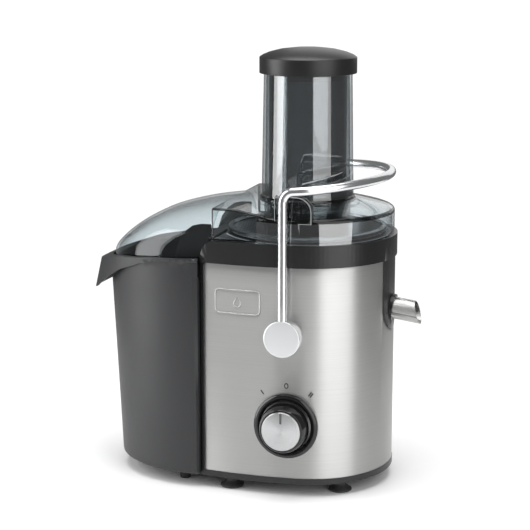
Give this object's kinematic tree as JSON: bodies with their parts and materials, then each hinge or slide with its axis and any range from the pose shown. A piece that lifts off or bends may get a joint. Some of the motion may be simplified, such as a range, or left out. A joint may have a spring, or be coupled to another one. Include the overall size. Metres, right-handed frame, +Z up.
{
  "type": "centrifugal juicer",
  "caption": "Countertop centrifugal juicer with round feed chute, clear hooded lid, chrome clamp bail, steel base with speed knob and side pulp container.",
  "frame": {"origin": "centre of the object's footprint box, on the table", "axes": "+Z up, +X towards the juice spout, -Y towards the front with the speed knob"},
  "size_m": [0.3284, 0.2012, 0.4173],
  "materials": {
    "brushed_steel_panel": "horizontal brushed stainless steel",
    "black_plastic": "satin black moulded plastic",
    "charcoal_plastic": "fine-textured charcoal plastic",
    "smoke_plastic": "transparent smoke-grey moulded plastic",
    "smoke_dark": "darker transparent smoke plastic",
    "cap_black": "matt black moulded plastic",
    "chrome_rod": "polished chrome plate",
    "satin_chrome": "satin chrome plate",
    "gloss_black": "gloss black moulded plastic",
    "spun_aluminium": "spun, concentric brushed",
    "spout_steel": "brushed stainless tube",
    "mesh_steel": "perforated stainless sheet",
    "rubber_black": "black rubber",
    "seal_grey": "grey silicone",
    "white_nylon": "natural nylon",
    "motor_steel": "laminated electrical steel",
    "bracket_aluminium": "cast aluminium",
    "copper": "enamelled copper wire",
    "carbon": "pressed carbon",
    "screw_steel": "zinc-plated steel",
    "switch_plastic": "glass-filled nylon"
  },
  "bodies": {
    "base": {"steel_wrap": "brushed_steel_panel", "base_housing": "black_plastic", "housing_shoulders": "black_plastic", "motor_deck": "black_plastic", "bottom_cover": "black_plastic", "foot_front_left": "rubber_black", "foot_front_right": "rubber_black", "foot_rear_left": "rubber_black", "foot_rear_right": "rubber_black", "housing_screws": "screw_steel", "cable_gland": "rubber_black", "terminal_block": "white_nylon", "suppression_capacitor": "switch_plastic", "stator_core": "motor_steel", "field_coils": "copper", "motor_upper_bracket": "bracket_aluminium", "motor_lower_bracket": "bracket_aluminium", "upper_bearing": "screw_steel", "lower_bearing": "screw_steel", "motor_grommets": "rubber_black", "motor_screws": "screw_steel", "motor_tie_bolts": "screw_steel", "carbon_brushes": "carbon", "brush_holders": "white_nylon", "brush_springs": "screw_steel", "shaft_seal": "seal_grey", "juice_collector": "black_plastic", "splash_collar": "black_plastic", "collector_ring": "black_plastic", "collector_seal": "seal_grey", "juice_spout": "spout_steel", "lid": "smoke_plastic", "feed_chute": "smoke_plastic", "clamp_bushes": "white_nylon", "safety_microswitch": "switch_plastic", "knob_bezel": "gloss_black", "rotary_switch": "switch_plastic"},
    "rotor": {"motor_shaft": "screw_steel", "armature_core": "motor_steel", "armature_windings": "copper", "commutator": "copper", "cooling_fan": "white_nylon", "drive_coupling": "switch_plastic", "basket_hub": "white_nylon", "filter_mesh": "mesh_steel", "basket_rim": "white_nylon", "grater_disc": "mesh_steel"},
    "clamp": {"clamp_rod": "chrome_rod", "clamp_hub_front": "satin_chrome", "clamp_hub_rear": "satin_chrome", "clamp_pin_front": "screw_steel", "clamp_pin_rear": "screw_steel", "interlock_cam": "white_nylon"},
    "pusher": {"pusher_tube": "smoke_dark", "pusher_cap": "cap_black"},
    "knob": {"knob_body": "black_plastic", "knob_face": "spun_aluminium", "switch_shaft": "screw_steel"},
    "container": {"pulp_container": "charcoal_plastic"}
  },
  "joints": [
    {"name": "clamp_swing", "type": "hinge", "parent": "base", "child": "clamp", "pos_m": [0.05278, 0.00195, 0.1566], "axis": [0, 1, 0], "range_deg": [0, 100]},
    {"name": "pusher_lift", "type": "slide", "parent": "base", "child": "pusher", "axis": [0, 0, 1], "range_m": [0, 0.18]},
    {"name": "knob_turn", "type": "hinge", "parent": "base", "child": "knob", "pos_m": [0.05339, -0.08805, 0.0694], "axis": [0, -1, 0], "range_deg": [-40, 40]},
    {"name": "basket_spin", "type": "hinge", "parent": "base", "child": "rotor", "pos_m": [0.05178, 0.00195, 0.15], "axis": [0, 0, 1], "continuous": true},
    {"name": "container_slide", "type": "slide", "parent": "base", "child": "container", "axis": [-1, 0, 0], "range_m": [0, 0.15]}
  ]
}
